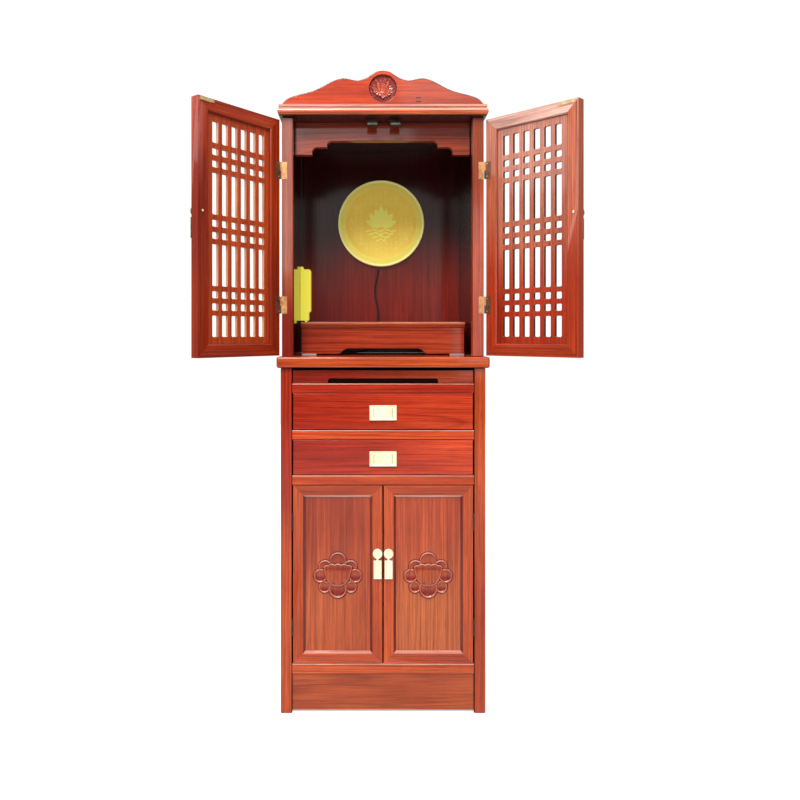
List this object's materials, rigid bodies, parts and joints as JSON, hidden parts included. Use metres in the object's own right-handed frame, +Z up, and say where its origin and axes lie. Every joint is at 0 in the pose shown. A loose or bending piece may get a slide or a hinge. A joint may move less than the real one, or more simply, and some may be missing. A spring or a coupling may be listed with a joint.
{
  "type": "household altar cabinet",
  "caption": "Tall wooden altar cabinet: a shrine with lattice doors, low stand and round lamp over a pull-out tray, drawers and a cupboard with lotus-carved doors.",
  "frame": {"origin": "on the floor, on the cabinet's middle plane, halfway between its back and the front of the opened lattice doors", "axes": "+Z up; the front faces -Y; +X to the right as seen from the front"},
  "size_m": [0.9573, 0.6013, 1.7013],
  "materials": {
    "case_wood": "glossy red lacquer over grain",
    "dark_wood": "glossy dark red lacquer",
    "carved_wood": "carved and lacquered",
    "stand_wood": "glossy red lacquer",
    "drawer_wood": "glossy red lacquer over grain",
    "door_wood": "glossy red lacquer over grain",
    "lattice_wood": "glossy red lacquer",
    "brass": "polished pale brass",
    "hinge_brass": "aged",
    "bronzed_steel": "dark bronze",
    "gilt_plastic": "satin gilt with printed ornament",
    "yellow_plastic": "satin yellow",
    "cord": "black sheath"
  },
  "bodies": {
    "case": {"post_left": "case_wood", "post_right": "case_wood", "side_lower_left": "case_wood", "side_lower_right": "case_wood", "back_lower": "case_wood", "plinth": "case_wood", "cupboard_floor": "case_wood", "shelf_above_cupboard": "case_wood", "shelf_between_drawers": "case_wood", "shelf_under_tray": "case_wood", "table_top": "case_wood", "stile_left": "case_wood", "stile_right": "case_wood", "side_upper_left": "case_wood", "side_upper_right": "case_wood", "back_upper": "dark_wood", "header": "case_wood", "roof": "case_wood", "crest": "carved_wood", "catch_left": "bronzed_steel", "catch_right": "bronzed_steel", "stand_top": "stand_wood", "stand_frame": "stand_wood", "disc_lamp": "gilt_plastic", "lamp_cord": "cord", "driver_box": "yellow_plastic", "door_hinge_lower_left": "bronzed_steel", "door_hinge_upper_left": "bronzed_steel", "door_hinge_lower_right": "bronzed_steel", "door_hinge_upper_right": "bronzed_steel", "case_leaf_lower_left": "hinge_brass", "case_leaf_upper_left": "hinge_brass", "case_leaf_lower_right": "hinge_brass", "case_leaf_upper_right": "hinge_brass"},
    "drawer_upper": {"drawer_upper_front": "drawer_wood", "drawer_upper_box": "drawer_wood", "drawer_upper_pull": "brass"},
    "drawer_lower": {"drawer_lower_front": "drawer_wood", "drawer_lower_box": "drawer_wood", "drawer_lower_pull": "brass"},
    "tray": {"tray_front": "drawer_wood", "tray_board": "drawer_wood"},
    "cupboard_door_left": {"door_frame_left": "door_wood", "door_panel_left": "carved_wood", "door_pull_left": "brass"},
    "cupboard_door_right": {"door_frame_right": "door_wood", "door_panel_right": "carved_wood", "door_pull_right": "brass"},
    "lattice_door_left": {"lattice_frame_left": "door_wood", "lattice_left": "lattice_wood", "lattice_pull_left": "brass", "strike_plate_left": "brass", "door_leaf_lower_left": "hinge_brass", "door_leaf_upper_left": "hinge_brass"},
    "lattice_door_right": {"lattice_frame_right": "door_wood", "lattice_right": "lattice_wood", "lattice_pull_right": "brass", "strike_plate_right": "brass", "door_leaf_lower_right": "hinge_brass", "door_leaf_upper_right": "hinge_brass"}
  },
  "joints": [
    {"name": "lattice_door_left_hinge", "type": "hinge", "parent": "case", "child": "lattice_door_left", "pos_m": [-0.273, -0.0883, 1.2573], "axis": [0, 0, -1], "range_deg": [-129.2, 50.8]},
    {"name": "lattice_door_right_hinge", "type": "hinge", "parent": "case", "child": "lattice_door_right", "pos_m": [0.273, -0.0883, 1.2573], "axis": [0, 0, 1], "range_deg": [-135.5, 44.5]},
    {"name": "cupboard_door_left_hinge", "type": "hinge", "parent": "case", "child": "cupboard_door_left", "pos_m": [-0.2385, -0.1162, 0.3663], "axis": [0, 0, -1], "range_deg": [0, 165]},
    {"name": "cupboard_door_right_hinge", "type": "hinge", "parent": "case", "child": "cupboard_door_right", "pos_m": [0.2385, -0.1162, 0.3663], "axis": [0, 0, 1], "range_deg": [0, 165]},
    {"name": "drawer_upper_slide", "type": "slide", "parent": "case", "child": "drawer_upper", "axis": [0, -1, 0], "range_m": [0, 0.27]},
    {"name": "drawer_lower_slide", "type": "slide", "parent": "case", "child": "drawer_lower", "axis": [0, -1, 0], "range_m": [0, 0.27]},
    {"name": "tray_slide", "type": "slide", "parent": "case", "child": "tray", "axis": [0, -1, 0], "range_m": [0, 0.25]}
  ]
}
